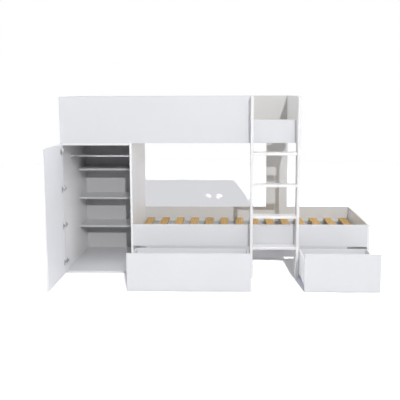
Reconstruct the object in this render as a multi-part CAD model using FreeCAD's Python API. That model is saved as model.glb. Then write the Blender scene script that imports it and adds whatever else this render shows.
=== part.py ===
import FreeCAD, Part
import os

# Bunk bed: an upper bunk over a wardrobe, a lower bunk shifted along by the wardrobe's width,
# a straight ladder in front and two drawers on wheels under the lower bunk.
# Millimetres. X runs along the bed, Y from the front to the wall, Z up from the floor.
# While it is built, X starts at the wardrobe's outer face and Y at the front of the guard.

# Mattresses and the room left round them
mattress_length = 1900
mattress_width = 900
upper_end_room = 13
lower_end_room = 25
side_room = 5

# Boards
board = 18
thin_board = 6
edge_radius = 1
overrun = 5

# Heights of the bunks
top_height = 1480
guard_height = 380
entry_rail_height = 190
lower_rail_bottom = 237
lower_rail_height = 184
lower_end_drop = 27

# Slats and the battens under them
slat_count = 14
slat_width = 72
slat_thickness = 18
slat_edge_radius = 3
slat_end_margin = 22
slat_end_gap = 2
batten_height = 18
batten_depth = 20
upper_batten_lift = 32
lower_batten_lift = 42

# Legs
rear_leg_width = 200
rear_leg_inset = 8
end_leg_setback = 60

# Wardrobe
wardrobe_width = 592
shelf_count = 3
shelf_depth = 334
first_shelf_top = 296
shelf_pitch = 264.5
shelf_pin_radius = 2.5
shelf_pin_depth = 9
shelf_pin_inset = 45
shelf_lug_size = 8
clothes_rail_radius = 10
clothes_rail_wall = 1.5
clothes_rail_drop = 116
clothes_rail_setback = 339
socket_wall = 4
socket_base = 3
socket_length = 14

# Wardrobe door and its hinges
door_gap = 2
door_reveal = 2
door_top_reveal = 4
door_floor_gap = 4
door_open_angle = 90
hinge_count = 4
hinge_low_inset = 97
hinge_high_inset = 68
hinge_edge_inset = 5
hinge_pin_radius = 1.5
hinge_arm_height = 12
hinge_arm_thickness = 6
hinge_arm_wall_gap = 0.5
hinge_plate_length = 50
hinge_plate_setback = 8
hinge_plate_thickness = 12
hinge_plate_rim = 2
hinge_cheek = 1.5
hinge_cheek_gap = 0.5
hinge_cup_length = 26
hinge_cup_floor = 0.9
hinge_cup_room = 0.6
hinge_flange_length = 34
hinge_flange_height = 48
hinge_flange_thickness = 1
hinge_flange_overlap = 2

# Ladder
ladder_width = 395
ladder_depth = 140
ladder_board = 22
ladder_edge_radius = 2
tread_count = 4
tread_rise = 257
first_tread_bottom = 239
tread_front_setback = 10
tread_rear_gap = 20
tread_screw_radius = 2.5
tread_screw_length = 50
tread_screw_shares = (0.25, 0.75)
screw_cap_radius = 6
screw_cap_thickness = 1.5
dowel_radius = 4
dowel_in_rail = 12
dowel_in_upright = 24
dowel_height_shares = (0.25, 0.75)

# Drawers
drawer_front_bottom = 6
drawer_front_height = 296
drawer_front_gap = 2
drawer_end_gap = 20
drawer_ladder_gap = 5
drawer_board = 15
drawer_bottom_board = 8
drawer_box_inset = 4
drawer_box_depth = 496
drawer_top_room = 9
drawer_pull = 535

# Drawer wheels
wheel_radius = 17.5
wheel_width = 16
wheel_edge_radius = 2
wheel_pin_radius = 3
wheel_top_room = 6
wheel_side_gap = 0.5
wheel_end_inset = 70
wheel_side_inset = 60
bracket_sheet = 2
bracket_length = 50
bracket_foot_room = 6

# Fits
running_clearance = 0.05
hole_clearance = 0.1
blind_hole_room = 0.5

# Places that follow from the sizes
depth = mattress_width + 2 * side_room + 2 * board
back_face = depth - board
upper_length = mattress_length + 2 * upper_end_room + 2 * board
total_length = wardrobe_width + mattress_length + 2 * lower_end_room + board
lower_end = total_length - board
upper_end = upper_length - board
guard_bottom = top_height - guard_height
entry_rail_top = guard_bottom + entry_rail_height
lower_rail_top = lower_rail_bottom + lower_rail_height
lower_end_bottom = lower_rail_bottom - lower_end_drop
ladder_right = upper_length
ladder_left = ladder_right - ladder_width
ladder_inner_left = ladder_left + ladder_board
ladder_inner_right = ladder_right - ladder_board
rear_leg_right = upper_length - rear_leg_inset
rear_leg_left = rear_leg_right - rear_leg_width
wardrobe_inner_right = wardrobe_width - board
wardrobe_ceiling = guard_bottom - board
wardrobe_back_face = depth - thin_board
upper_batten_bottom = guard_bottom + upper_batten_lift
lower_batten_bottom = lower_rail_bottom + lower_batten_lift
drawer_box_top = lower_rail_bottom - drawer_top_room
drawer_box_bottom = 2 * wheel_radius + wheel_top_room + bracket_sheet
drawer_box_back = drawer_box_depth - drawer_front_gap
door_pivot_x = door_reveal + hinge_edge_inset
door_pivot_y = -door_gap - board / 2

nodes = {}
along_x = FreeCAD.Vector(1, 0, 0)
along_y = FreeCAD.Vector(0, 1, 0)
along_z = FreeCAD.Vector(0, 0, 1)


def block(low_x, high_x, low_y, high_y, low_z, high_z):
    corner = FreeCAD.Vector(low_x, low_y, low_z)
    return Part.makeBox(high_x - low_x, high_y - low_y, high_z - low_z, corner)


def panel(low_x, high_x, low_y, high_y, low_z, high_z, radius=edge_radius):
    solid = block(low_x, high_x, low_y, high_y, low_z, high_z)
    return solid.makeFillet(radius, solid.Edges)


def rod(radius, length, x, y, z, direction):
    return Part.makeCylinder(radius, length, FreeCAD.Vector(x, y, z), direction)


def group(solids):
    return Part.makeCompound(solids)


def spread(first, last, count):
    return [first + (last - first) * step / (count - 1) for step in range(count)]


def slat_row(left, right, bottom):
    first = left + slat_end_margin
    last = right - slat_end_margin - slat_width
    front = board + slat_end_gap
    rear = back_face - slat_end_gap
    slats = []
    for x in spread(first, last, slat_count):
        slat = panel(x, x + slat_width, front, rear, bottom, bottom + slat_thickness, slat_edge_radius)
        slats.append(slat)
    return group(slats)


def battens(left, right, bottom):
    top = bottom + batten_height
    front = panel(left, right, board, board + batten_depth, bottom, top)
    back = panel(left, right, back_face - batten_depth, back_face, bottom, top)
    return front, back


# Upper bunk. The guard and the entry rail cover the front edges of the end panels.
def make_upper_bunk():
    nodes["upper_guard"] = panel(0, ladder_inner_left, 0, board, guard_bottom, top_height)
    nodes["upper_entry_rail"] = panel(ladder_inner_left, upper_length, 0, board, guard_bottom, entry_rail_top)
    nodes["upper_left_end"] = panel(0, board, board, back_face, guard_bottom, top_height)
    nodes["upper_right_end"] = panel(upper_end, upper_length, board, back_face, guard_bottom, top_height)
    nodes["upper_back_panel"] = panel(0, upper_length, back_face, depth, guard_bottom, top_height)
    front, back = battens(board, upper_end, upper_batten_bottom)
    nodes["upper_front_batten"] = front
    nodes["upper_back_batten"] = back
    nodes["upper_slats"] = slat_row(board, upper_end, upper_batten_bottom + batten_height)


# Lower bunk. Its back is in two lengths, one on each side of the rear leg.
def make_lower_bunk():
    bottom, top = lower_end_bottom, lower_rail_top
    nodes["lower_front_rail"] = panel(wardrobe_width, lower_end, 0, board, lower_rail_bottom, top)
    nodes["lower_right_end"] = panel(lower_end, total_length, 0, back_face, bottom, top)
    nodes["lower_back_left"] = panel(wardrobe_width, rear_leg_left, back_face, depth, bottom, top)
    nodes["lower_back_right"] = panel(rear_leg_right, total_length, back_face, depth, bottom, top)
    front, back = battens(wardrobe_width, lower_end, lower_batten_bottom)
    nodes["lower_front_batten"] = front
    nodes["lower_back_batten"] = back
    nodes["lower_slats"] = slat_row(wardrobe_width, lower_end, lower_batten_bottom + batten_height)
    nodes["end_leg_board"] = panel(lower_end, total_length, end_leg_setback, depth, 0, bottom)
    nodes["rear_leg_board"] = panel(rear_leg_left, rear_leg_right, back_face, depth, 0, guard_bottom)


# Wardrobe carcass, with blind holes in its sides for the shelf pins.
def shelf_pin(face, inward, y, shelf_bottom):
    half = shelf_lug_size / 2
    z = shelf_bottom - half
    way = along_x * inward
    pin = rod(shelf_pin_radius, shelf_pin_depth + half, face - inward * shelf_pin_depth, y, z, way)
    ends = sorted((face, face + inward * shelf_lug_size))
    lug = block(*ends, y - half, y + half, shelf_bottom - shelf_lug_size, shelf_bottom)
    hole_depth = shelf_pin_depth + blind_hole_room
    hole = rod(shelf_pin_radius + hole_clearance, hole_depth + overrun, face - inward * hole_depth, y, z, way)
    return lug.fuse(pin), hole


def make_wardrobe():
    left = panel(0, board, 0, depth, 0, guard_bottom)
    right = panel(wardrobe_inner_right, wardrobe_width, 0, depth, 0, guard_bottom)
    inside = (board, wardrobe_inner_right)
    shelf_front = wardrobe_back_face - shelf_depth
    pins = []
    for step in range(shelf_count):
        shelf_top = first_shelf_top + step * shelf_pitch
        shelf_bottom = shelf_top - board
        name = "wardrobe_shelf_%d" % (step + 1)
        nodes[name] = panel(*inside, shelf_front, wardrobe_back_face, shelf_bottom, shelf_top)
        for y in (shelf_front + shelf_pin_inset, wardrobe_back_face - shelf_pin_inset):
            pin, hole = shelf_pin(board, 1, y, shelf_bottom)
            pins.append(pin)
            left = left.cut(hole)
            pin, hole = shelf_pin(wardrobe_inner_right, -1, y, shelf_bottom)
            pins.append(pin)
            right = right.cut(hole)
    nodes["wardrobe_left_side"] = left
    nodes["wardrobe_right_side"] = right
    nodes["wardrobe_top"] = panel(*inside, 0, depth, wardrobe_ceiling, guard_bottom)
    nodes["wardrobe_bottom"] = panel(*inside, 0, depth, 0, board)
    nodes["wardrobe_back"] = block(*inside, wardrobe_back_face, depth, board, wardrobe_ceiling)
    nodes["shelf_pins"] = group(pins)


# Clothes rail, a tube that sits in a round socket at each end.
def make_clothes_rail():
    y = clothes_rail_setback
    z = wardrobe_ceiling - clothes_rail_drop
    start = board + socket_base
    length = wardrobe_inner_right - socket_base - start
    tube = rod(clothes_rail_radius, length, start, y, z, along_x)
    bore = rod(clothes_rail_radius - clothes_rail_wall, length, start, y, z, along_x)
    nodes["clothes_rail"] = tube.cut(bore)
    outer = clothes_rail_radius + hole_clearance + socket_wall
    seat = clothes_rail_radius + hole_clearance
    left = rod(outer, socket_length, board, y, z, along_x)
    left = left.cut(rod(seat, socket_length, start, y, z, along_x))
    right = rod(outer, socket_length, wardrobe_inner_right - socket_length, y, z, along_x)
    seat_start = wardrobe_inner_right - socket_length - socket_base
    right = right.cut(rod(seat, socket_length, seat_start, y, z, along_x))
    nodes["clothes_rail_sockets"] = group([left, right])


# Door and hinges are drawn shut. The door's parts are then swung open about the hinge pins.
def hinge_arm(z):
    low, high = z - hinge_arm_height / 2, z + hinge_arm_height / 2
    half = hinge_arm_thickness / 2
    plate_back = hinge_plate_setback + hinge_plate_length
    plate = block(board, board + hinge_plate_thickness, hinge_plate_setback, plate_back,
                  low - hinge_plate_rim, high + hinge_plate_rim)
    near = board + hinge_arm_wall_gap
    far = near + hinge_arm_thickness
    reach = block(near, far, door_pivot_y - half, hinge_plate_setback + hinge_plate_thickness, low, high)
    link = block(door_pivot_x, far, door_pivot_y - half, door_pivot_y + half, low, high)
    eye = rod(half, hinge_arm_height, door_pivot_x, door_pivot_y, low, along_z)
    hole = rod(hinge_pin_radius + running_clearance, hinge_arm_height + 2 * overrun,
               door_pivot_x, door_pivot_y, low - overrun, along_z)
    return plate.fuse([reach, link, eye]).cut(hole).removeSplitter()


def hinge_pocket_height():
    return hinge_arm_height / 2 + hinge_cheek_gap + hinge_cheek


def hinge_pocket_depth():
    return board / 2 + hinge_arm_thickness / 2 + hinge_cup_room + hinge_cup_floor


def hinge_cup(z):
    left = door_reveal
    right = left + hinge_cup_length
    inner = -door_gap
    back = inner - hinge_pocket_depth()
    half = hinge_pocket_height()
    upper = block(left, right, back, inner, z + half - hinge_cheek, z + half)
    lower = block(left, right, back, inner, z - half, z - half + hinge_cheek)
    floor = block(left, right, back, back + hinge_cup_floor, z - half, z + half)
    pin = rod(hinge_pin_radius, 2 * half, door_pivot_x, door_pivot_y, z - half, along_z)
    flange_left = right - hinge_flange_overlap
    flange = block(flange_left, flange_left + hinge_flange_length, inner, inner + hinge_flange_thickness,
                   z - hinge_flange_height / 2, z + hinge_flange_height / 2)
    return upper.fuse([lower, floor, pin, flange]).removeSplitter()


def make_door():
    bottom = door_floor_gap
    top = guard_bottom - door_top_reveal
    inner = -door_gap
    door = panel(door_reveal, wardrobe_width - door_reveal, inner - board, inner, bottom, top)
    half = hinge_pocket_height()
    arms = []
    cups = []
    for z in spread(bottom + hinge_low_inset, top - hinge_high_inset, hinge_count):
        pocket = block(door_reveal - overrun, door_reveal + hinge_cup_length, inner - hinge_pocket_depth(),
                       inner + overrun, z - half, z + half)
        door = door.cut(pocket)
        arms.append(hinge_arm(z))
        cups.append(hinge_cup(z))
    cups = group(cups)
    pivot = FreeCAD.Vector(door_pivot_x, door_pivot_y, 0)
    door.rotate(pivot, along_z, -door_open_angle)
    cups.rotate(pivot, along_z, -door_open_angle)
    nodes["wardrobe_door"] = door
    nodes["hinge_cups"] = cups
    nodes["hinge_arms"] = group(arms)


# Ladder. Dowels join the uprights to the rails behind them, screws hold the treads.
def ladder_dowels():
    left_middle = ladder_left + ladder_board / 2
    right_middle = ladder_right - ladder_board / 2
    joints = [(left_middle, "lower_front_rail", lower_rail_bottom, lower_rail_height),
              (right_middle, "lower_front_rail", lower_rail_bottom, lower_rail_height),
              (left_middle, "upper_guard", guard_bottom, guard_height),
              (right_middle, "upper_entry_rail", guard_bottom, entry_rail_height)]
    dowels = []
    holes = []
    for x, rail, bottom, height in joints:
        for share in dowel_height_shares:
            z = bottom + share * height
            length = dowel_in_upright + dowel_in_rail
            dowels.append(rod(dowel_radius, length, x, -dowel_in_upright, z, along_y))
            hole = rod(dowel_radius + hole_clearance, length + 2 * blind_hole_room, x,
                       -dowel_in_upright - blind_hole_room, z, along_y)
            nodes[rail] = nodes[rail].cut(hole)
            holes.append(hole)
    return dowels, holes


def tread_screw(face, inward, y, z):
    way = along_x * inward
    shank = rod(tread_screw_radius, tread_screw_length, face, y, z, way)
    cap = rod(screw_cap_radius, screw_cap_thickness, face, y, z, along_x * -inward)
    hole = rod(tread_screw_radius + hole_clearance, tread_screw_length + blind_hole_room, face, y, z, way)
    return shank.fuse(cap), hole


def make_ladder():
    front = -ladder_depth
    radius = ladder_edge_radius
    left = panel(ladder_left, ladder_inner_left, front, 0, 0, top_height, radius)
    right = panel(ladder_inner_right, ladder_right, front, 0, 0, top_height, radius)
    dowels, holes = ladder_dowels()
    left = left.cut(holes)
    right = right.cut(holes)
    tread_front = front + tread_front_setback
    tread_depth = ladder_depth - tread_front_setback - tread_rear_gap
    screws = []
    for step in range(tread_count):
        bottom = first_tread_bottom + step * tread_rise
        tread = panel(ladder_inner_left, ladder_inner_right, tread_front, tread_front + tread_depth,
                      bottom, bottom + ladder_board, radius)
        for share in tread_screw_shares:
            place = (tread_front + share * tread_depth, bottom + ladder_board / 2)
            left_screw, left_hole = tread_screw(ladder_left, 1, *place)
            right_screw, right_hole = tread_screw(ladder_right, -1, *place)
            screws.extend([left_screw, right_screw])
            left = left.cut(left_hole)
            right = right.cut(right_hole)
            tread = tread.cut([left_hole, right_hole])
        nodes["ladder_tread_%d" % (step + 1)] = tread
    nodes["ladder_left_upright"] = left
    nodes["ladder_right_upright"] = right
    nodes["tread_screws"] = group(screws)
    nodes["ladder_dowels"] = group(dowels)


# Drawers, drawn where they stand pulled out. Each is a box on four wheels with a tall front.
def wheel_bracket(x, y):
    half_gap = wheel_width / 2 + wheel_side_gap
    half_width = half_gap + bracket_sheet
    top = drawer_box_bottom
    under = top - bracket_sheet
    foot = wheel_radius - bracket_foot_room
    half_ear = bracket_length / 4
    plate = block(x - half_width, x + half_width, y - bracket_length / 2, y + bracket_length / 2, under, top)
    left = block(x - half_width, x - half_gap, y - half_ear, y + half_ear, foot, under)
    right = block(x + half_gap, x + half_width, y - half_ear, y + half_ear, foot, under)
    pin = rod(wheel_pin_radius, 2 * half_width, x - half_width, y, wheel_radius, along_x)
    return plate.fuse([left, right, pin]).removeSplitter()


def wheel(x, y):
    disc = rod(wheel_radius, wheel_width, x - wheel_width / 2, y, wheel_radius, along_x)
    disc = disc.makeFillet(wheel_edge_radius, [edge for edge in disc.Edges if edge.Closed])
    return disc.cut(rod(wheel_pin_radius + running_clearance, wheel_width + 2 * overrun,
                        x - wheel_width / 2 - overrun, y, wheel_radius, along_x))


def make_drawer(side, left, right):
    name = side + "_drawer_"
    front_back = -drawer_front_gap - drawer_pull
    box_back = drawer_box_back - drawer_pull
    box_left = left + drawer_box_inset
    box_right = right - drawer_box_inset
    bottom, top = drawer_box_bottom, drawer_box_top
    nodes[name + "front"] = panel(left, right, front_back - board, front_back, drawer_front_bottom,
                                  drawer_front_bottom + drawer_front_height)
    nodes[name + "left_side"] = panel(box_left, box_left + drawer_board, front_back, box_back, bottom, top)
    nodes[name + "right_side"] = panel(box_right - drawer_board, box_right, front_back, box_back, bottom, top)
    inside = (box_left + drawer_board, box_right - drawer_board)
    nodes[name + "back"] = panel(*inside, box_back - drawer_board, box_back, bottom, top)
    nodes[name + "bottom"] = block(*inside, front_back, box_back - drawer_board, bottom,
                                   bottom + drawer_bottom_board)
    brackets = []
    number = 0
    for x in (box_left + wheel_side_inset, box_right - wheel_side_inset):
        for y in (front_back + wheel_end_inset, box_back - wheel_end_inset):
            number += 1
            brackets.append(wheel_bracket(x, y))
            nodes[name + "wheel_%d" % number] = wheel(x, y)
    nodes[name + "wheel_brackets"] = group(brackets)


make_upper_bunk()
make_lower_bunk()
make_wardrobe()
make_clothes_rail()
make_door()
make_ladder()
make_drawer("left", wardrobe_width + drawer_end_gap, ladder_left - drawer_ladder_gap)
make_drawer("right", ladder_right + drawer_ladder_gap, total_length - drawer_end_gap)

# The origin is on the floor, under the middle of the box that holds the whole bed as it stands.
extent = group(list(nodes.values())).optimalBoundingBox(False, False)
origin_shift = FreeCAD.Vector(-extent.Center.x, -extent.Center.y, -extent.ZMin)

os.makedirs("parts", exist_ok=True)
for name, shape in nodes.items():
    shape.translate(origin_shift)
    shape.exportStep("parts/" + name + ".step")
    solids = shape.Solids
    volume = sum(solid.Volume for solid in solids) / 1e6
    print("%-28s %2d solids %8.3f litres valid %s" % (name, len(solids), volume, shape.isValid()))
print("nodes", len(nodes), "shift", tuple(round(value, 3) for value in origin_shift))
print("extent", round(extent.XLength, 2), round(extent.YLength, 2), round(extent.ZLength, 2))
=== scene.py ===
import math
import bpy
from mathutils import Matrix, Vector


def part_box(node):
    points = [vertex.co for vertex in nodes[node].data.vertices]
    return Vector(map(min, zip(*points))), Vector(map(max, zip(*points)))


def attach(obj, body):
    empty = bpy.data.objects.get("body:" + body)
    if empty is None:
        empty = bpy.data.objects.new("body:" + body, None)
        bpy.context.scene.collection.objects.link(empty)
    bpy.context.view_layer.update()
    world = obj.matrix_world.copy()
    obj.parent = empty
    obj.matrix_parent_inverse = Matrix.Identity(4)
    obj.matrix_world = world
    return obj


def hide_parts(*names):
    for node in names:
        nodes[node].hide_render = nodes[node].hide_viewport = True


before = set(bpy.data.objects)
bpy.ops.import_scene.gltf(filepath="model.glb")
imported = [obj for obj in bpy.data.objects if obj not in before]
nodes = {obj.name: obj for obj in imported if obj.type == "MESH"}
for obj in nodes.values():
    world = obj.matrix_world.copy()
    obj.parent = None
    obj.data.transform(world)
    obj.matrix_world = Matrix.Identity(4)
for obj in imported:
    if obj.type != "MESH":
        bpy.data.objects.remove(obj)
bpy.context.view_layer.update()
scene = bpy.context.scene
print("frame loaded with", len(nodes), "nodes")


# shader maths: a socket that adds Math nodes when it is used in a sum
class Wire:
    def __init__(self, finish, socket):
        self.finish = finish
        self.socket = socket

    def maths(self, operation, *values):
        return self.finish.add("ShaderNodeMath", {"operation": operation}, dict(enumerate(values)))

    def __add__(self, other):
        return self.maths("ADD", self, other)

    def __sub__(self, other):
        return self.maths("SUBTRACT", self, other)

    def __rsub__(self, other):
        return self.maths("SUBTRACT", other, self)

    def __mul__(self, other):
        return self.maths("MULTIPLY", self, other)

    def __abs__(self):
        return self.maths("ABSOLUTE", self)

    def floor(self):
        return self.maths("FLOOR", self)

    def sine(self):
        return self.maths("SINE", self)

    def larger(self, other):
        return self.maths("MAXIMUM", self, other)

    __radd__ = __add__
    __rmul__ = __mul__


# the nodes of one material, or of the world or a lamp when its tree is given
class Finish:
    def __init__(self, name, tree=None):
        if tree is None:
            self.material = bpy.data.materials.new(name)
            self.material.use_nodes = True
            tree = self.material.node_tree
        self.tree = tree
        self.tree.nodes.clear()

    def add(self, kind, settings=None, sockets=None, out=0):
        node = self.tree.nodes.new(kind)
        for key, value in (settings or {}).items():
            setattr(node, key, value)
        for key, value in (sockets or {}).items():
            self.put(node.inputs[key], value)
        return Wire(self, node.outputs[out]) if len(node.outputs) else node

    def put(self, socket, value):
        if isinstance(value, Wire):
            self.tree.links.new(value.socket, socket)
        elif socket.type == "RGBA" and len(value) == 3:
            socket.default_value = (*value, 1)
        else:
            socket.default_value = value

    def coords(self, out="Object"):
        return self.add("ShaderNodeTexCoord", out=out)

    def split(self, vector):
        return [self.add("ShaderNodeSeparateXYZ", {}, {0: vector}, out=axis) for axis in range(3)]

    def point(self, x, y, z):
        return self.add("ShaderNodeCombineXYZ", {}, {0: x, 1: y, 2: z})

    def tint(self, red, green, blue):
        return self.add("ShaderNodeCombineColor", {}, {0: red, 1: green, 2: blue})

    def noise(self, vector, scale, detail=3, roughness=0.5):
        return self.add("ShaderNodeTexNoise", {},
                        {"Vector": vector, "Scale": scale, "Detail": detail, "Roughness": roughness})

    def stretched(self, vector, scale):
        return self.add("ShaderNodeMapping", {}, {"Vector": vector, "Scale": scale})

    def grain(self, vector, scale, detail=4, roughness=0.6):        # noise drawn out along one way
        return self.noise(self.stretched(vector, scale), 1.0, detail, roughness)

    def chance(self, value):                                        # the same draw for the same value
        return self.add("ShaderNodeTexWhiteNoise", {"noise_dimensions": "1D"}, {"W": value}, out="Value")

    def rise(self, value, low, high, toLow=0.0, toHigh=1.0):
        return self.add("ShaderNodeMapRange", {"interpolation_type": "SMOOTHSTEP"},
                        {0: value, 1: low, 2: high, 3: toLow, 4: toHigh})

    def blend(self, share, first, second, way="MIX"):
        return self.add("ShaderNodeMix", {"data_type": "RGBA", "blend_type": way},
                        {0: share, 6: first, 7: second}, out=2)     # the node's sockets for colours

    def bump(self, height, strength, distance):
        return self.add("ShaderNodeBump", {}, {"Height": height, "Strength": strength, "Distance": distance})

    def mix(self, share, first, second):
        return self.add("ShaderNodeMixShader", {}, {0: share, 1: first, 2: second})

    def glow(self, colour):
        return self.add("ShaderNodeEmission", {}, {"Color": colour, "Strength": 1.0})

    def close(self, **sockets):
        names = {"colour": "Base Color", "roughness": "Roughness", "metallic": "Metallic", "normal": "Normal",
                 "specular": "Specular IOR Level"}
        values = {names[key]: value for key, value in sockets.items()}
        shader = self.add("ShaderNodeBsdfPrincipled", {}, values)
        self.add("ShaderNodeOutputMaterial", {}, {"Surface": shader})
        return self.material


noiseMiddle = 0.5                             # what a noise varies about
white = (1, 1, 1)


def linear(*levels):                          # screen levels, 0 to 255, as amounts of light
    return tuple(((level / 255 + 0.055) / 1.055) ** 2.4 for level in levels)


# white melamine board: a pale grey-white face, a whiter edge band and a fine line where the band is glued
boardLook = {
    "face": linear(230, 231, 234.5), "edge": linear(246, 246, 247), "seam": linear(205, 205, 207),
    "faceFrom": (0.86, 0.99), "seamFrom": (0.55, 0.86), "seamStrength": 0.55,
    "mottleScale": 2.3, "mottle": 0.035, "speckScale": 420, "speck": 0.02,
    "scuffScale": 34, "scuffFrom": (0.58, 0.75), "scuff": 0.10,
    "roughness": 0.42, "edgeRoughness": 0.06, "smudgeScale": 6, "smudgeFrom": (0.42, 0.72), "smudge": 0.14,
    "gloss": 0.42, "peelScale": 260, "peelFineScale": 900, "peelFineShare": 0.3,
    "peel": 0.06, "peelDepth": 0.0004,
}


def makeBoard(name, axis, look):
    finish = Finish(name)
    place = finish.coords()
    squarely = abs(finish.split(finish.coords("Normal"))[axis])     # 1 on the faces, 0 on the edges
    face = finish.rise(squarely, *look["faceFrom"])
    band = 1 - face
    seam = finish.rise(squarely, *look["seamFrom"]) * band * look["seamStrength"]
    mottle = finish.noise(place, look["mottleScale"], detail=4) - noiseMiddle
    speck = finish.noise(place, look["speckScale"], detail=2) - noiseMiddle
    scuff = finish.noise(place, look["scuffScale"], detail=5, roughness=0.65)
    scuff = finish.rise(scuff, *look["scuffFrom"]) * band
    shade = 1 - mottle * look["mottle"] - speck * look["speck"] - scuff * look["scuff"]
    colour = finish.blend(face, look["edge"], look["face"])
    colour = finish.blend(seam, colour, look["seam"])
    colour = finish.blend(1.0, colour, finish.tint(shade, shade, shade), "MULTIPLY")
    smudge = finish.noise(place, look["smudgeScale"], detail=6, roughness=0.6)
    smudge = finish.rise(smudge, *look["smudgeFrom"])
    roughness = look["roughness"] + (smudge - noiseMiddle) * look["smudge"] + band * look["edgeRoughness"]
    peel = finish.noise(place, look["peelScale"], detail=2) * (1 - look["peelFineShare"])
    peel = peel + finish.noise(place, look["peelFineScale"], detail=1) * look["peelFineShare"]
    return finish.close(colour=colour, roughness=roughness, specular=look["gloss"],
                        normal=finish.bump(peel, look["peel"], look["peelDepth"]))


def boardSet(name, look):                     # one for each way that a board can lie
    return [makeBoard(name + letter, axis, look) for axis, letter in enumerate("XYZ")]


boards = boardSet("whiteBoard", boardLook)
ladderLook = dict(boardLook, face=linear(248, 248, 249), edge=linear(250, 250, 251),
                  seam=linear(222, 222, 224), roughness=0.36)
ladderBoards = boardSet("ladderBoard", ladderLook)

# the wardrobe's thin back board and its shelves are greyer, and the edge of its hinge side is painted darker
# as painted shade
thinLook = dict(boardLook, face=linear(217, 217, 219), edge=linear(217, 217, 219),
                seam=linear(196, 196, 199), roughness=0.5)
thinBoard = makeBoard("thinBoard", 1, thinLook)
# the shelves' fronts are painted darker than their tops: painted shade inside the wardrobe
shelfShadedLook = dict(boardLook, face=linear(224, 225, 227), edge=linear(218, 219, 221))
shelfShadedBoard = makeBoard("shelfShadedBoard", 2, shelfShadedLook)
# painted shade: the hinge side's edge is darker than its face, so the lamps do not light it to a bright line
hingeSideShadedLook = dict(boardLook, face=linear(231, 231, 232.5), edge=linear(214, 214, 216))
hingeSideShadedBoard = makeBoard("hingeSideShadedBoard", 0, hingeSideShadedLook)

# boards at the back and at the right ends are a little cooler in tone: a painted tint that cancels the warm
# light bounced onto them from the pine slats
backCounterTintLook = dict(boardLook, face=linear(227.5, 230.5, 233.5))
backCounterTintBoards = boardSet("backBoard", backCounterTintLook)
backPanels = ("upper_back_panel", "lower_back_left", "lower_back_right", "rear_leg_board")
rightEnds = ("upper_right_end", "lower_right_end")

# painted softwood of the battens: the grain still shows through the paint
battenLook = {
    "paint": linear(243, 243, 244), "grain": linear(229, 228, 226),
    "along": (3, 160, 160), "grainFrom": (0.4, 0.75),
    "roughness": 0.55, "roughSpread": 0.15, "relief": 0.15, "depth": 0.0006,
}


def makeBatten(look):
    finish = Finish("paintedBatten")
    grain = finish.grain(finish.coords(), look["along"], detail=5)
    colour = finish.blend(finish.rise(grain, *look["grainFrom"]), look["paint"], look["grain"])
    roughness = look["roughness"] + (grain - noiseMiddle) * look["roughSpread"]
    return finish.close(colour=colour, roughness=roughness,
                        normal=finish.bump(grain, look["relief"], look["depth"]))


# bare pine slats: grain along the slat, knots, and no two slats alike
slatRow = {"count": 14, "width": 0.072}
slatLook = {
    "pale": linear(233, 197, 128), "ring": linear(205, 155, 82), "knot": linear(138, 88, 40),
    "toneSpread": 0.22, "blueSpread": 0.05, "fibreTone": 0.12, "seeds": (3.7, 11.3), "seedStep": 1.7,
    "shift": (0.6, 9, 0.4), "warpAlong": (16, 2.2, 16), "warp": 26, "ringWave": 330, "ringShift": 40,
    "ringFrom": (-0.6, 1.0), "ringShare": 0.6, "fibreAlong": (260, 7, 260), "fibreShare": 0.35,
    "knotAlong": (13, 3.1, 2), "knotFrom": (0.045, 0.13), "knotShare": 0.85,
    "roughness": 0.55, "roughSpread": 0.18, "gloss": 0.35,
    "fibreRelief": 0.6, "ringRelief": 0.25, "knotRelief": 0.3, "relief": 0.35, "depth": 0.0008,
}


def slatPitch(row):
    low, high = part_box(row)
    return (high.x - low.x - slatRow["width"]) / (slatRow["count"] - 1)


def makePine(look, row):
    pitch = slatPitch(row)
    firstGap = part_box(row)[0].x - (pitch - slatRow["width"]) / 2
    finish = Finish("pine_" + row)
    x, y, z = finish.split(finish.coords())
    number = ((x - firstGap) * (1 / pitch)).floor()                 # which slat this point is on
    chance = finish.chance(number + look["seeds"][0])
    other = finish.chance(number * look["seedStep"] + look["seeds"][1])
    shiftX, shiftY, shiftZ = look["shift"]
    across = x + other * shiftX
    shifted = finish.point(across, y + chance * shiftY, z + chance * shiftZ)
    warp = finish.grain(shifted, look["warpAlong"], detail=3, roughness=0.5)
    wave = across * look["ringWave"] + warp * look["warp"] + chance * look["ringShift"]
    rings = finish.rise(wave.sine(), *look["ringFrom"])
    fibre = finish.grain(shifted, look["fibreAlong"])
    knotPlace = finish.stretched(shifted, look["knotAlong"])
    away = finish.add("ShaderNodeTexVoronoi", {}, {"Vector": knotPlace, "Scale": 1.0}, out="Distance")
    knot = finish.rise(away, *look["knotFrom"], toLow=1.0, toHigh=0.0)
    colour = finish.blend(rings * look["ringShare"] + fibre * look["fibreShare"], look["pale"], look["ring"])
    colour = finish.blend(knot * look["knotShare"], colour, look["knot"])
    fibreSpread = fibre - noiseMiddle
    tone = 1 + (chance - noiseMiddle) * look["toneSpread"] - fibreSpread * look["fibreTone"]
    blue = tone - (other - noiseMiddle) * look["blueSpread"]
    colour = finish.blend(1.0, colour, finish.tint(tone, tone, blue), "MULTIPLY")
    height = fibre * look["fibreRelief"] - rings * look["ringRelief"] - knot * look["knotRelief"]
    return finish.close(colour=colour, roughness=look["roughness"] + fibreSpread * look["roughSpread"],
                        specular=look["gloss"], normal=finish.bump(height, look["relief"], look["depth"]))


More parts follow.
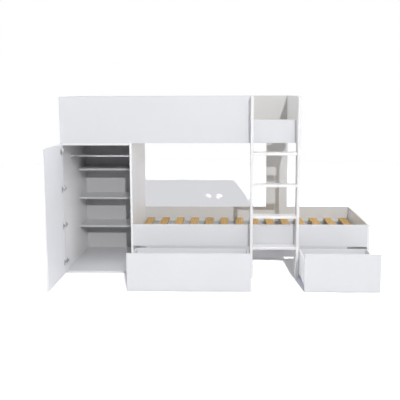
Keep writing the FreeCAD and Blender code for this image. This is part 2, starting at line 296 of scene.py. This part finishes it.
# plated metal of the rail, the hinges and the wheel brackets
metalLooks = {
    "chromeRail": {"colour": (0.80, 0.80, 0.82), "roughness": 0.12, "brush": 0.10, "along": (4, 900, 900)},
    "hingeNickel": {"colour": (0.58, 0.58, 0.59), "roughness": 0.38, "brush": 0.14, "along": (700, 60, 60)},
    "bracketZinc": {"colour": (0.56, 0.57, 0.58), "roughness": 0.40, "brush": 0.20, "along": (90, 90, 90)},
}
metalHaze = {"scale": 45, "dull": 0.82, "dullFrom": (0.45, 0.8), "dullShare": 0.6, "roughFrom": (0.5, 0.8),
             "rough": 0.08, "relief": 0.08, "depth": 0.0002}


def makeMetal(name):
    look = metalLooks[name]
    finish = Finish(name)
    place = finish.coords()
    brush = finish.grain(place, look["along"])
    haze = finish.noise(place, metalHaze["scale"])
    dull = tuple(metalHaze["dull"] * part for part in look["colour"])
    dulled = finish.rise(haze, *metalHaze["dullFrom"]) * metalHaze["dullShare"]
    rough = finish.rise(haze, *metalHaze["roughFrom"]) * metalHaze["rough"]
    return finish.close(colour=finish.blend(dulled, look["colour"], dull), metallic=1.0,
                        roughness=look["roughness"] + (brush - noiseMiddle) * look["brush"] + rough,
                        normal=finish.bump(brush, metalHaze["relief"], metalHaze["depth"]))


# moulded plastic of the wheels and of the small white caps
plasticLooks = {
    "wheelGrey": {"colour": linear(92, 93, 96), "worn": linear(128, 128, 130), "roughness": 0.55},
    "capWhite": {"colour": linear(240, 240, 240), "worn": linear(222, 222, 220), "roughness": 0.40},
}
plasticWear = {"grainScale": 1500, "grain": 0.12, "scale": 90, "from": (0.5, 0.72), "share": 0.5,
               "rough": 0.1, "relief": 0.12, "depth": 0.0002}


def makePlastic(name):
    look = plasticLooks[name]
    finish = Finish(name)
    place = finish.coords()
    grain = finish.noise(place, plasticWear["grainScale"], detail=2)
    wear = finish.rise(finish.noise(place, plasticWear["scale"], detail=4), *plasticWear["from"])
    roughness = look["roughness"] + (grain - noiseMiddle) * plasticWear["grain"] + wear * plasticWear["rough"]
    return finish.close(colour=finish.blend(wear * plasticWear["share"], look["colour"], look["worn"]),
                        roughness=roughness,
                        normal=finish.bump(grain, plasticWear["relief"], plasticWear["depth"]))


# turned beech of the hidden dowels
beechLook = {
    "pale": linear(214, 181, 138), "fleck": linear(176, 136, 92),
    "along": (600, 60, 600), "fleckFrom": (0.45, 0.7),
    "roughness": 0.6, "roughSpread": 0.1, "relief": 0.2, "depth": 0.0003,
}


def makeBeech(look):
    finish = Finish("beechDowel")
    fleck = finish.grain(finish.coords(), look["along"], detail=3, roughness=0.5)
    colour = finish.blend(finish.rise(fleck, *look["fleckFrom"]), look["pale"], look["fleck"])
    return finish.close(colour=colour, roughness=look["roughness"] + fleck * look["roughSpread"],
                        normal=finish.bump(fleck, look["relief"], look["depth"]))


metals = {name: makeMetal(name) for name in metalLooks}
plastics = {name: makePlastic(name) for name in plasticLooks}
batten = makeBatten(battenLook)
beech = makeBeech(beechLook)


def thinAxis(name):
    low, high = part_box(name)
    size = high - low
    return min(range(3), key=lambda axis: size[axis])


def finishFor(name):
    if name.endswith("_slats"):
        return makePine(slatLook, name)
    if "batten" in name:
        return batten
    if name.startswith("clothes_rail"):
        return metals["chromeRail"]
    if name.startswith("hinge"):
        return metals["hingeNickel"]
    if name.endswith("wheel_brackets"):
        return metals["bracketZinc"]
    if "_wheel_" in name:
        return plastics["wheelGrey"]
    if name in ("tread_screws", "shelf_pins"):
        return plastics["capWhite"]
    if name == "ladder_dowels":
        return beech
    if name.startswith("ladder_"):
        return ladderBoards[thinAxis(name)]
    if name == "wardrobe_back":
        return thinBoard
    if name.startswith("wardrobe_shelf"):
        return shelfShadedBoard
    if name == "wardrobe_left_side":
        return hingeSideShadedBoard
    if name in backPanels + rightEnds:
        return backCounterTintBoards[thinAxis(name)]
    return boards[thinAxis(name)]


def paint(piece, material):
    piece.data.materials.clear()
    piece.data.materials.append(material)


for name, piece in nodes.items():
    paint(piece, finishFor(name))
print("finishes on", len(nodes), "nodes")

# shaping: parts of a mesh are picked by where they are or by the way they face
squareOn = 0.99                               # a normal this far along an axis faces that way
nearTop = 0.9                                 # share of the height above which an edge is at the top
quarter = math.pi / 2
edgeMode = (False, True, False)
faceMode = (False, False, True)


def begin(primitive, **settings):
    bpy.ops.object.select_all(action="DESELECT")
    primitive(**settings)
    bpy.ops.object.transform_apply(location=True, rotation=True, scale=True)
    return bpy.context.object


def blockBetween(low, high):
    low, high = Vector(low), Vector(high)
    return begin(bpy.ops.mesh.primitive_cube_add, size=1, location=(low + high) / 2, scale=high - low)


def disc(sides, radius, rise):                # stands on the origin
    return begin(bpy.ops.mesh.primitive_cylinder_add, vertices=sides, radius=radius, depth=rise,
                 location=(0, 0, rise / 2))


def pickParts(piece, parts, chosen, mode):
    bpy.context.view_layer.objects.active = piece
    for kind in (piece.data.vertices, piece.data.edges, piece.data.polygons):
        kind.foreach_set("select", [False] * len(kind))
    parts.foreach_set("select", chosen)
    bpy.context.tool_settings.mesh_select_mode = mode
    bpy.ops.object.mode_set(mode="EDIT")


def pickFaces(piece, test):
    faces = piece.data.polygons
    pickParts(piece, faces, [test(face.center, face.normal) for face in faces], faceMode)


def pickEdges(piece, test):
    points = piece.data.vertices
    chosen = [test(*(points[end].co for end in edge.vertices)) for edge in piece.data.edges]
    pickParts(piece, piece.data.edges, chosen, edgeMode)


def leaveEdit():
    bpy.ops.object.mode_set(mode="OBJECT")


def pull(shift):
    bpy.ops.mesh.extrude_region_move(TRANSFORM_OT_translate={"value": shift})


def roundEdges(piece, offset, test=lambda a, b: True, segments=2):
    pickEdges(piece, test)
    bpy.ops.mesh.bevel(offset=offset, segments=segments)
    leaveEdit()


def atTop(height):
    return lambda a, b: min(a.z, b.z) > height * nearTop


def only(*pieces):
    bpy.ops.object.select_all(action="DESELECT")
    for piece in pieces:
        piece.select_set(True)
    bpy.context.view_layer.objects.active = pieces[0]


def applyNew(piece, kind, **settings):
    only(piece)
    step = piece.modifiers.new(kind.lower(), kind)
    for key, value in settings.items():
        setattr(step, key, value)
    bpy.ops.object.modifier_apply(modifier=step.name)


def repeat(piece, count, shift):
    applyNew(piece, "ARRAY", count=count, use_relative_offset=False, use_constant_offset=True,
             constant_offset_displace=shift)


def copyTo(model, name, place):
    only(model)
    bpy.ops.object.duplicate()
    twin = bpy.context.object
    twin.name = name
    twin.matrix_world = place
    bpy.ops.object.transform_apply(location=True, rotation=True, scale=True)
    return twin


def joinAs(name, pieces):
    only(*pieces)
    bpy.ops.object.join()
    pieces[0].name = name
    return pieces[0]


facing = {                                    # turns a piece that was made facing up
    "up": Matrix(), "right": Matrix.Rotation(quarter, 4, "Y"), "left": Matrix.Rotation(-quarter, 4, "Y"),
    "back": Matrix.Rotation(-quarter, 4, "X"), "front": Matrix.Rotation(quarter, 4, "X"),
}


def placed(point, way):
    return Matrix.Translation(point) @ facing[way]


def copies(model, name, spots):
    return joinAs(name, [copyTo(model, name, placed(point, way)) for point, way in spots])


def dress(piece, body, material, smoothUpTo=35):
    paint(piece, material)
    only(piece)
    bpy.ops.object.shade_smooth_by_angle(angle=math.radians(smoothUpTo))
    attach(piece, body)


def scrap(*pieces):
    for piece in pieces:
        bpy.data.objects.remove(piece, do_unlink=True)


def centreOf(name):
    low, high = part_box(name)
    return (low + high) / 2


# cross-head screw, made at the origin facing up
screwLook = {"sides": 24, "radius": 0.0036, "rise": 0.0016, "round": 0.0009,
             "crossWidth": 0.0009, "crossReach": 0.0016, "crossDepth": 0.0011}


def makeScrew(look):
    rise, width = look["rise"], look["crossWidth"]
    head = disc(look["sides"], look["radius"], rise)
    roundEdges(head, look["round"], atTop(rise), segments=3)
    cutter = begin(bpy.ops.mesh.primitive_cube_add, size=1, location=(0, 0, rise),
                   scale=(width, width, look["crossDepth"] * 2))
    for way in ((1, 0, 0), (-1, 0, 0), (0, 1, 0), (0, -1, 0)):
        pickFaces(cutter, lambda centre, normal: (normal.dot(Vector(way)) > squareOn
                                                  and centre.length < rise + width))
        pull([look["crossReach"] * part for part in way])
        leaveEdit()
    applyNew(head, "BOOLEAN", operation="DIFFERENCE", solver="EXACT", object=cutter)
    scrap(cutter)
    return head


screw = makeScrew(screwLook)


# one screw at each end of every slat, where the slat lies on its batten
def screwSlats(bunk):
    row = bunk + "_slats"
    low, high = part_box(row)
    front, back = [centreOf(bunk + side).y for side in ("_front_batten", "_back_batten")]
    screws = copyTo(screw, bunk + "SlatScrews", placed((low.x + slatRow["width"] / 2, front, high.z), "up"))
    repeat(screws, slatRow["count"], (slatPitch(row), 0, 0))
    repeat(screws, 2, (0, back - front, 0))
    dress(screws, "bed", metals["bracketZinc"])


bunks = ("upper", "lower")
for bunk in bunks:
    screwSlats(bunk)

# screws that hold the battens to the boards behind them
battenScrews = {"count": 6, "endGap": 0.12}


def screwBatten(name, way):
    low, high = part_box(name)
    count, gap = battenScrews["count"], battenScrews["endGap"]
    face = high.y if way == "back" else low.y
    screws = copyTo(screw, name + "Screws", placed((low.x + gap, face, (low.z + high.z) / 2), way))
    repeat(screws, count, ((high.x - low.x - 2 * gap) / (count - 1), 0, 0))
    dress(screws, "bed", metals["bracketZinc"])


for bunk in bunks:
    screwBatten(bunk + "_front_batten", "back")
    screwBatten(bunk + "_back_batten", "front")
print("slats and battens screwed down")

# caps over the cam fittings on the inner faces of the boards
capLook = {"sides": 32, "radius": 0.0085, "rise": 0.0012, "round": 0.0008, "ring": 0.0024, "groove": 0.0004,
           "edgeGap": 0.034, "heightShares": (0.22, 0.78)}


def makeCap(look):
    cap = disc(look["sides"], look["radius"], look["rise"])
    roundEdges(cap, look["round"], atTop(look["rise"]), segments=3)
    pickFaces(cap, lambda centre, normal: normal.z > squareOn)
    bpy.ops.mesh.inset(thickness=look["ring"])
    bpy.ops.mesh.inset(thickness=look["groove"], depth=-look["groove"])
    bpy.ops.mesh.inset(thickness=look["groove"], depth=look["groove"])
    leaveEdit()
    return cap


def capSpots(name, way, nearEnds=("low", "high")):
    low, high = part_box(name)
    gap = capLook["edgeGap"]
    heights = [low.z + share * (high.z - low.z) for share in capLook["heightShares"]]
    places = {"low": low.y + gap, "high": high.y - gap}
    face = high.x if way == "right" else low.x
    return [(Vector((face, places[end], z)), way) for end in nearEnds for z in heights]


cap = makeCap(capLook)
spots = capSpots("upper_left_end", "right")
for name in rightEnds:
    spots += capSpots(name, "left")
dress(copies(cap, "bedFittingCaps", spots), "bed", plastics["capWhite"])
for drawer in ("left_drawer", "right_drawer"):
    spots = capSpots(drawer + "_left_side", "right", ("low",))
    spots += capSpots(drawer + "_right_side", "left", ("low",))
    dress(copies(cap, drawer + "FittingCaps", spots), drawer, plastics["capWhite"])
scrap(cap)
print("fitting caps in place")

# drawer wheel: rounded tyre, dished sides and a raised hub with its bore
wheelLook = {"sides": 48, "tyreRound": 0.002, "rim": 0.0032, "dish": 0.0024, "wall": 0.0008, "web": 0.0042,
             "hubRise": 0.0018, "bore": 0.00305}


def makeWheel(name, look):
    low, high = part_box(name)
    radius, width = (high.z - low.z) / 2, high.x - low.x
    wheel = begin(bpy.ops.mesh.primitive_cylinder_add, vertices=look["sides"], radius=radius, depth=width,
                  location=(low + high) / 2, rotation=(0, quarter, 0))
    roundEdges(wheel, look["tyreRound"], lambda a, b: abs(a.x - b.x) < width / 2, segments=4)
    pickFaces(wheel, lambda centre, normal: abs(normal.x) > squareOn)
    bpy.ops.mesh.inset(thickness=look["rim"])
    bpy.ops.mesh.inset(thickness=look["wall"], depth=-look["dish"])
    bpy.ops.mesh.inset(thickness=look["web"])
    bpy.ops.mesh.inset(thickness=look["wall"], depth=look["hubRise"])
    flat = radius * math.cos(math.pi / look["sides"])               # from the centre to the middle of a side
    hub = flat - look["tyreRound"] - look["rim"] - look["web"] - 2 * look["wall"]
    bpy.ops.mesh.inset(thickness=hub - look["bore"])
    bpy.ops.mesh.bridge_edge_loops()
    leaveEdit()
    return wheel


wheelNames = [side + "_drawer_wheel_%d" % number for side in ("left", "right") for number in (1, 2, 3, 4)]
firstWheel = makeWheel(wheelNames[0], wheelLook)
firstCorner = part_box(wheelNames[0])[0]
for name in wheelNames:
    wheel = copyTo(firstWheel, name + "_tyre", Matrix.Translation(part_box(name)[0] - firstCorner))
    dress(wheel, name, plastics["wheelGrey"])
    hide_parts(name)
scrap(firstWheel)
print("wheels turned")

# door hinge: base plate with two wings on the wardrobe's side, a bevelled arm and an eye round the door's pin
# its places are measured from the front inner corner of that side, at the middle of the hinge
hingeLook = {
    "count": 4, "plate": ((0, 0.008, -0.008), (0.012, 0.058, 0.008)), "plateRound": 0.0008,
    "channel": 0.0022, "channelWall": 0.0004, "channelDepth": 0.0016,
    "arm": ((0.0005, -0.008, -0.006), (0.0065, 0.012, 0.006)), "armRound": 0.0005,
    "tip": 0.006, "link": 0.0105,
    "wing": ((0, 0.020, -0.026), (0.0016, 0.044, 0.026)), "wingCorner": 0.006, "wingRound": 0.0004,
    "wingScrew": 0.019, "armScrews": (0.024, 0.044),
    "pin": (-0.011, -0.011), "eye": 0.003, "eyeSides": 32, "bore": 0.00155,
}


def makePlate(look):
    plate = blockBetween(*look["plate"])
    roundEdges(plate, look["plateRound"])
    pickFaces(plate, lambda centre, normal: normal.x > squareOn)
    bpy.ops.mesh.inset(thickness=look["channel"])
    bpy.ops.mesh.inset(thickness=look["channelWall"], depth=-look["channelDepth"])
    leaveEdit()
    return plate


def makeArm(look):
    arm = blockBetween(*look["arm"])
    front = look["arm"][0][1]
    pickFaces(arm, lambda centre, normal: normal.y < -squareOn)
    pull((0, -look["tip"], 0))
    leaveEdit()
    pickFaces(arm, lambda centre, normal: normal.x < -squareOn and centre.y < front)
    pull((-look["link"], 0, 0))
    leaveEdit()
    roundEdges(arm, look["armRound"])
    return arm


def makeWing(look):
    wing = blockBetween(*look["wing"])
    thick = look["wing"][1][0]
    roundEdges(wing, look["wingCorner"], lambda a, b: abs(a.x - b.x) > thick / 2)
    roundEdges(wing, look["wingRound"], lambda a, b: min(a.x, b.x) > thick * nearTop)
    return wing


def makeEye(look):
    height = look["arm"][1][2] - look["arm"][0][2]
    eye = begin(bpy.ops.mesh.primitive_cylinder_add, vertices=look["eyeSides"], radius=look["eye"],
                depth=height, location=(*look["pin"], 0))
    pickFaces(eye, lambda centre, normal: abs(normal.z) > squareOn)
    bpy.ops.mesh.inset(thickness=look["eye"] * math.cos(math.pi / look["eyeSides"]) - look["bore"])
    bpy.ops.mesh.bridge_edge_loops()
    leaveEdit()
    return eye


def makeHinge(look):
    parts = [makePlate(look), makeArm(look), makeWing(look), makeEye(look)]
    channelFloor = look["plate"][1][0] - look["channelDepth"]
    spots = [(Vector((channelFloor, y, 0)), "right") for y in look["armScrews"]]
    wingLow, wingHigh = look["wing"]
    wingMiddle = (wingLow[1] + wingHigh[1]) / 2
    for z in (-look["wingScrew"], look["wingScrew"]):
        spots.append((Vector((wingHigh[0], wingMiddle, z)), "right"))
    return joinAs("hingeModel", parts + [copies(screw, "hingeScrews", spots)])


def hingeHeights(look):
    low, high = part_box("hinge_arms")
    half = look["plate"][1][2]
    step = (high.z - low.z - 2 * half) / (look["count"] - 1)
    return [low.z + half + index * step for index in range(look["count"])]


hinge = makeHinge(hingeLook)
heights = hingeHeights(hingeLook)
sideLow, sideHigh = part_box("wardrobe_left_side")
hinges = copies(hinge, "hingeArms", [(Vector((sideHigh.x, sideLow.y, z)), "up") for z in heights])
scrap(hinge)
dress(hinges, "bed", metals["hingeNickel"])
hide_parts("hinge_arms")

# screws through the hinge flanges into the door
doorScrews = {"outward": 0.036, "apart": 0.017}
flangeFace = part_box("hinge_cups")[1].x
screwY = sideLow.y + hingeLook["pin"][1] - doorScrews["outward"]
spots = [(Vector((flangeFace, screwY, z + side * doorScrews["apart"])), "right")
         for z in heights for side in (-1, 1)]
dress(copies(screw, "doorHingeScrews", spots), "door", metals["hingeNickel"])
print("hinges fitted")

# clothes rail socket: a round flange with a cup for the tube, screwed to the wardrobe's side
socketLook = {"sides": 48, "flange": 0.021, "flangeRise": 0.003, "cup": 0.0141, "seat": 0.0101,
              "length": 0.014, "round": 0.0009, "screwOut": 0.0176, "level": 1e-5}


def makeSocket(look):
    across = math.cos(math.pi / look["sides"])
    rise, length = look["flangeRise"], look["length"]
    flange, cup, seat = look["flange"], look["cup"], look["seat"]
    socket = disc(look["sides"], flange, rise)
    pickFaces(socket, lambda centre, normal: normal.z > squareOn)
    bpy.ops.mesh.inset(thickness=(flange - cup) * across)
    pull((0, 0, length - rise))
    bpy.ops.mesh.inset(thickness=(cup - seat) * across)
    pull((0, 0, rise - length))
    leaveEdit()

    def outerRim(a, b):                       # round the flange, and round the mouth of the cup
        onFlange = a.z > rise * nearTop and a.xy.length > (flange + cup) / 2
        onMouth = a.z > (rise + length) / 2 and a.xy.length > (cup + seat) / 2
        return abs(a.z - b.z) < look["level"] and (onFlange or onMouth)

    roundEdges(socket, look["round"], outerRim)
    spots = [(Vector((0, side * look["screwOut"], rise)), "up") for side in (-1, 1)]
    return joinAs("socketModel", [socket, copies(screw, "socketScrews", spots)])


socket = makeSocket(socketLook)
socketLow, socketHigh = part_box("clothes_rail_sockets")
railMiddle = centreOf("clothes_rail_sockets")
spots = [(Vector((socketLow.x, railMiddle.y, railMiddle.z)), "right"),
         (Vector((socketHigh.x, railMiddle.y, railMiddle.z)), "left")]
sockets = copies(socket, "clothesRailSockets", spots)
dress(sockets, "bed", metals["chromeRail"])
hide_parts("clothes_rail_sockets")
scrap(socket, screw)
print("clothes rail sockets fitted")

# flat nails through the wardrobe's back board into its shelves
nailLook = {"sides": 20, "radius": 0.0026, "rise": 0.0007, "round": 0.0003, "dish": 0.0002, "dishShare": 0.4,
            "perShelf": 5, "endGap": 0.06}
shelves = tuple("wardrobe_shelf_%d" % number for number in (1, 2, 3))


def makeNail(look):
    nail = disc(look["sides"], look["radius"], look["rise"])
    roundEdges(nail, look["round"], atTop(look["rise"]))
    pickFaces(nail, lambda centre, normal: normal.z > squareOn)
    bpy.ops.mesh.inset(thickness=look["radius"] * look["dishShare"], depth=-look["dish"])
    leaveEdit()
    return nail


def nailSpots(look):
    low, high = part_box("wardrobe_back")
    gap, count = look["endGap"], look["perShelf"]
    step = (high.x - low.x - 2 * gap) / (count - 1)
    return [(Vector((low.x + gap + index * step, high.y, centreOf(shelf).z)), "back")
            for shelf in shelves for index in range(count)]


nail = makeNail(nailLook)
dress(copies(nail, "backBoardNails", nailSpots(nailLook)), "bed", metals["bracketZinc"])
scrap(nail)
print("back board nailed")

# light: one lamp high in front on the right, a pale room that is brighter overhead,
# and a lamp for the floor alone
studio = {
    "lampPlace": (1.92, -14.08, 5.5), "lampRadius": 0.02, "lampWatts": 3110, "lampTint": (1.0, 0.99, 0.98),
    "floorWatts": 95, "floorTint": (0.96, 0.99, 1.04),
    "wallLevel": 0.48, "ceilingLevel": 0.84, "roomTint": (0.99, 0.993, 1.007), "bounces": 2,
    "floorColour": (0.80, 0.77, 0.73), "floorGlow": (0.108, 0.133, 0.183),
    "floorBounce": (0.515, 0.515, 0.515), "floorSides": 96, "floorRadius": 24, "floorFade": (6.5, 9.5),
}

# fills lift single boards: a strip lamp close by where a place is given, or else a far lamp from one side
treads = tuple("ladder_tread_%d" % number for number in (1, 2, 3, 4))
fills = {
    "doorFill": {"strength": 1.42, "from": (0.96, -0.25, 0.10), "lights": ("wardrobe_door",)},
    "innerFill": {"watts": 1.5, "place": (-0.715, -0.165, 0.40), "aim": (-1.26, 0.20, 0.38),
                  "size": (0.03, 0.76), "lights": ("wardrobe_left_side",), "shadows": shelves},
    "hingeSideFill": {"strength": 0.42, "soft": 1.5, "from": (0.80, -0.55, 0.29),
                      "lights": ("wardrobe_left_side",),
                      "shadows": ("wardrobe_top", "upper_guard", "upper_entry_rail") + shelves},
    "shelfFill": {"strength": 0.42, "from": (0.0, -0.2, 1.0), "lights": shelves[:2]},
    "outerFill": {"strength": 0.80, "from": (0.96, -0.25, 0.10), "lights": ("wardrobe_right_side",),
                  "shadows": ("lower_front_rail",)},
    "plinthFill": {"watts": 1.5, "place": (-0.98, -0.165, 0.60), "aim": (-0.98, 0.25, 0.0),
                   "size": (0.5, 0.03), "lights": ("wardrobe_bottom",)},
    "endFill": {"strength": 0.86, "tint": (0.90, 0.99, 1.02), "from": (-0.9, -0.4, 0.2),
                "lights": ("upper_right_end",)},
    "lowEndFill": {"strength": 0.37, "tint": (0.87, 0.90, 1.0), "from": (-0.9, -0.4, 0.2),
                   "lights": ("lower_right_end",)},
    "rightInnerFill": {"strength": 0.13, "from": (-0.9, -0.3, 0.2), "lights": ("wardrobe_right_side",)},
    "treadFill": {"strength": 0.5, "from": (0.0, -0.3, 1.0), "lights": treads},
    "uprightFill": {"watts": 0.16, "place": (0.45, -0.36, 0.03), "aim": (0.661, -0.25, 0.09),
                    "size": (0.2, 0.05), "lights": ("ladder_right_upright",)},
    "lowFill": {"strength": 0.15, "from": (0.1, -0.9, 0.4),
                "lights": ("left_drawer_front", "left_drawer_back",
                           "right_drawer_front", "right_drawer_back")},
    "railFill": {"strength": 0.30, "soft": 150, "from": (0.1, -0.9, 0.4), "lights": ("lower_front_rail",),
                 "shadows": ("ladder_left_upright", "ladder_right_upright") + treads[:2]},
    "drawerFill": {"strength": 1.75, "from": (-0.9, -0.4, 0.35), "lights": ("right_drawer_left_side",)},
    "backFill": {"strength": 0.65, "from": (0.0, 1.0, 0.25),
                 "lights": backPanels + ("wardrobe_back", "wardrobe_top", "upper_left_end")},
}
softAngle = 6                                 # degrees, for a far lamp that has no "soft" of its own
noShadows = ("ladder_dowels",)                # they sit inside the boards and shade nothing


def hang(lamp, place):
    holder = bpy.data.objects.new(lamp.name, lamp)
    holder.location = place
    scene.collection.objects.link(holder)
    return holder


def gather(name, pieces):
    chosen = bpy.data.collections.new(name)
    for piece in pieces:
        chosen.objects.link(piece)
    return chosen


def addLamp(name, watts, tint):
    lamp = bpy.data.lights.new(name, "POINT")
    lamp.energy = watts
    lamp.color = tint
    lamp.shadow_soft_size = studio["lampRadius"]
    return hang(lamp, studio["lampPlace"])


def addFloorLamp(floor):
    holder = addLamp("floorLamp", studio["floorWatts"], studio["floorTint"])
    holder.data.use_nodes = True
    finish = Finish("floorLamp", holder.data.node_tree)
    even = finish.add("ShaderNodeLightFalloff", {}, {"Strength": 1.0}, out="Constant")
    glow = finish.add("ShaderNodeEmission", {}, {"Strength": even})        # as strong far off as near
    finish.add("ShaderNodeOutputLight", {}, {"Surface": glow})
    holder.light_linking.receiver_collection = gather("floorLampLights", [floor])


def addFill(name, look):
    place = look.get("place", (0, 0, 0))
    if "place" in look:
        lamp = bpy.data.lights.new(name, "AREA")
        lamp.shape = "RECTANGLE"
        lamp.size, lamp.size_y = look["size"]
        lamp.energy = look["watts"]
        way = Vector(place) - Vector(look["aim"])
    else:
        lamp = bpy.data.lights.new(name, "SUN")
        lamp.angle = math.radians(look.get("soft", softAngle))
        lamp.energy = look["strength"]
        way = Vector(look["from"])
    lamp.color = look.get("tint", studio["roomTint"])
    lamp.cycles.max_bounces = 0               # it lifts what it falls on and nothing round it
    holder = hang(lamp, place)
    holder.rotation_euler = way.to_track_quat("Z", "Y").to_euler()
    holder.visible_camera = holder.visible_glossy = False
    lit = [nodes[part] for part in look["lights"]]
    shading = [nodes[part] for part in look.get("shadows", noShadows)]
    holder.light_linking.receiver_collection = gather(name + "Lights", lit)
    holder.light_linking.blocker_collection = gather(name + "Shadows", shading)


def seenRay(finish):                          # what is seen straight, mirrored or through glass
    camera, glossy, through = [finish.add("ShaderNodeLightPath", out=ray)
                               for ray in ("Is Camera Ray", "Is Glossy Ray", "Is Transmission Ray")]
    return camera.larger(glossy).larger(through)


def makeRoom():
    world = bpy.data.worlds.new("paleRoom")
    scene.world = world
    world.use_nodes = True
    finish = Finish("paleRoom", world.node_tree)
    height = finish.split(finish.coords("Generated"))[2]
    levels = ((studio["roomTint"], studio["wallLevel"]), (studio["roomTint"], studio["ceilingLevel"]),
              (white, 1.0))
    walls, ceiling, backdrop = [finish.add("ShaderNodeBackground", {}, {"Color": colour, "Strength": level})
                                for colour, level in levels]
    room = finish.mix(height.larger(0), walls, ceiling)
    finish.add("ShaderNodeOutputWorld", {}, {"Surface": finish.mix(seenRay(finish), room, backdrop)})


def makeFloor():
    bpy.ops.object.select_all(action="DESELECT")
    bpy.ops.mesh.primitive_circle_add(vertices=studio["floorSides"], radius=studio["floorRadius"],
                                      fill_type="NGON")
    floor = bpy.context.object
    floor.name = "studioFloor"
    finish = Finish("studioFloor")
    seen = seenRay(finish)
    bounce, matt = [finish.add("ShaderNodeBsdfDiffuse", {}, {"Color": studio[key]})
                    for key in ("floorBounce", "floorColour")]
    glow = finish.glow(studio["floorGlow"])                         # keeps its shadows pale
    shown = finish.add("ShaderNodeAddShader", {}, {0: matt, 1: glow})
    near = finish.mix(seen, bounce, shown)
    away = finish.add("ShaderNodeVectorMath", {"operation": "LENGTH"}, {0: finish.coords()}, out="Value")
    far = finish.rise(away, *studio["floorFade"]) * seen            # the floor runs out into white
    finish.add("ShaderNodeOutputMaterial", {}, {"Surface": finish.mix(far, near, finish.glow(white))})
    paint(floor, finish.material)
    return floor


makeRoom()
floor = makeFloor()
addLamp("frontLamp", studio["lampWatts"], studio["lampTint"])
addFloorLamp(floor)
for name, look in fills.items():
    addFill(name, look)
scene.cycles.diffuse_bounces = studio["bounces"]
scene.view_settings.view_transform = "Standard"
print("light and floor set")

# camera, where the photograph was taken from: turn, dip and roll in radians
cameraView = {
    "place": (0.092, -5.860, 1.506), "turn": -0.03806, "dip": 0.1531, "roll": -0.003766,
    "focalPixels": 693.5, "imagePixels": 400, "sensor": 36, "sight": 200,
}


def placeCamera(view):
    turn, dip, roll = view["turn"], view["dip"], view["roll"]
    ahead = Vector((math.sin(turn) * math.cos(dip), math.cos(turn) * math.cos(dip), -math.sin(dip)))
    right = Vector((math.cos(turn), -math.sin(turn), 0))
    up = right.cross(ahead)
    rightRolled = math.cos(roll) * right + math.sin(roll) * up
    upRolled = math.cos(roll) * up - math.sin(roll) * right
    data = bpy.data.cameras.new("photoCamera")
    data.sensor_width = view["sensor"]
    data.lens = view["focalPixels"] / view["imagePixels"] * view["sensor"]
    data.clip_end = view["sight"]
    camera = bpy.data.objects.new("photoCamera", data)
    scene.collection.objects.link(camera)
    axes = Matrix((rightRolled, upRolled, -ahead)).transposed()
    camera.matrix_world = Matrix.Translation(view["place"]) @ axes.to_4x4()
    scene.camera = camera


placeCamera(cameraView)
print("camera placed")
